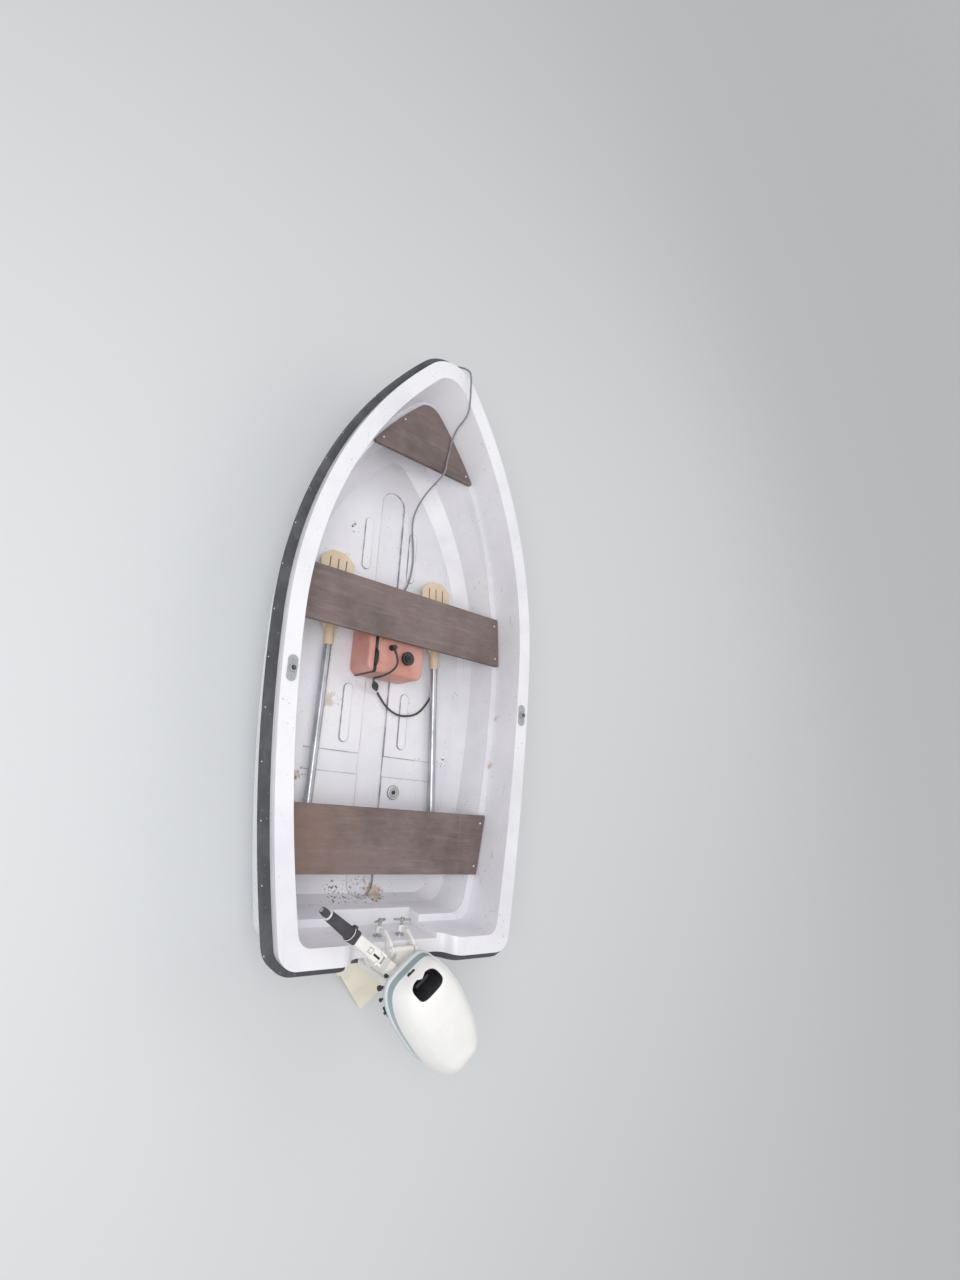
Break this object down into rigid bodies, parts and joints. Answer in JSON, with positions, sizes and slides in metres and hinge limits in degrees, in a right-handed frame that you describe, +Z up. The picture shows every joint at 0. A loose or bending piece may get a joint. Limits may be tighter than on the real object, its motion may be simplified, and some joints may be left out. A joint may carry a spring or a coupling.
{
  "type": "dinghy with outboard motor",
  "caption": "Small moulded tender dinghy with plank thwarts, oars and fuel tank, and a tiller outboard motor clamped to its transom.",
  "frame": {"origin": "on the centreline at the waterline, under the top of the transom", "axes": "+X to the bow, +Y to port, +Z up"},
  "size_m": [2.8978, 1.3066, 0.8116],
  "materials": {
    "gelcoat": "weathered white gelcoat",
    "gelcoat_inner": "weathered white gelcoat, stained and scuffed",
    "fender_rubber": "scuffed dark grey rubber",
    "plywood": "weathered dark plywood",
    "grey_nylon": "grey moulded nylon",
    "drain_plastic": "grey plastic",
    "stainless": "stainless steel, dulled",
    "tank_plastic": "faded orange polyethylene",
    "black_plastic": "black plastic",
    "motor_paint": "off-white paint",
    "cream_paint": "cream paint, stained",
    "cowl_paint": "glossy white paint",
    "trim_blue": "pale blue-grey",
    "prop_alloy": "painted aluminium",
    "grip_rubber": "dark rubber",
    "ring_white": "white plastic",
    "oar_alloy": "dull anodised tube",
    "oar_grip_plastic": "grey plastic",
    "blade_plastic": "tan moulded plastic",
    "hose_rubber": "black rubber",
    "painter_rope": "grey braided rope"
  },
  "bodies": {
    "root": {"bow_eye": "stainless", "clamp_bracket": "motor_paint", "clamp_screw_port": "stainless", "clamp_screw_starboard": "stainless", "drain": "drain_plastic", "fuel_hose": "hose_rubber", "fuel_hose_coil": "hose_rubber", "fuel_hose_tank": "hose_rubber", "fuel_tank": "tank_plastic", "hose_connector": "black_plastic", "hull": "gelcoat", "liner": "gelcoat_inner", "oar_port_blade": "blade_plastic", "oar_port_grip": "oar_grip_plastic", "oar_port_shaft": "oar_alloy", "oar_starboard_blade": "blade_plastic", "oar_starboard_grip": "oar_grip_plastic", "oar_starboard_shaft": "oar_alloy", "oarlock_port": "grey_nylon", "oarlock_starboard": "grey_nylon", "painter": "painter_rope", "painter_coil": "painter_rope", "painter_end": "painter_rope", "painter_knot": "painter_rope", "primer_bulb": "hose_rubber", "rub_rail": "fender_rubber", "tank_cap": "black_plastic", "tank_outlet": "black_plastic", "thwart_aft": "plywood", "thwart_bow": "plywood", "thwart_middle": "plywood"},
    "tilt": {"swivel_bracket": "motor_paint"},
    "motor": {"steering_yoke": "motor_paint", "leg": "motor_paint", "gearcase": "cream_paint", "lower_pan": "cream_paint", "cowl_band": "trim_blue", "cowl": "cowl_paint", "starter_recess": "black_plastic", "tiller_bracket": "motor_paint"},
    "propeller": {"prop_shaft": "stainless", "propeller": "prop_alloy", "prop_nut": "prop_alloy"},
    "tiller": {"tiller_arm": "motor_paint", "tiller_collar": "grip_rubber", "tiller_grip": "grip_rubber", "grip_ring": "ring_white", "grip_knob": "black_plastic"}
  },
  "joints": [
    {"name": "tilt", "type": "hinge", "parent": "root", "child": "tilt", "pos_m": [0.0215, 0, 0.39758], "axis": [0, 1, 0], "range_deg": [0, 66]},
    {"name": "steer", "type": "hinge", "parent": "tilt", "child": "motor", "pos_m": [-0.072, 0, 0.375], "axis": [-0.1736, 0, 0.9848], "range_deg": [-83, 4]},
    {"name": "tiller_fold", "type": "hinge", "parent": "motor", "child": "tiller", "pos_m": [0.01567, 0.15935, 0.47372], "axis": [0.8259, -0.5446, 0.1456], "range_deg": [0, 90]},
    {"name": "propeller_spin", "type": "hinge", "parent": "motor", "child": "propeller", "pos_m": [-0.12812, -0.11743, -0.08473], "axis": [0.7432, 0.6561, 0.1311], "continuous": true}
  ]
}
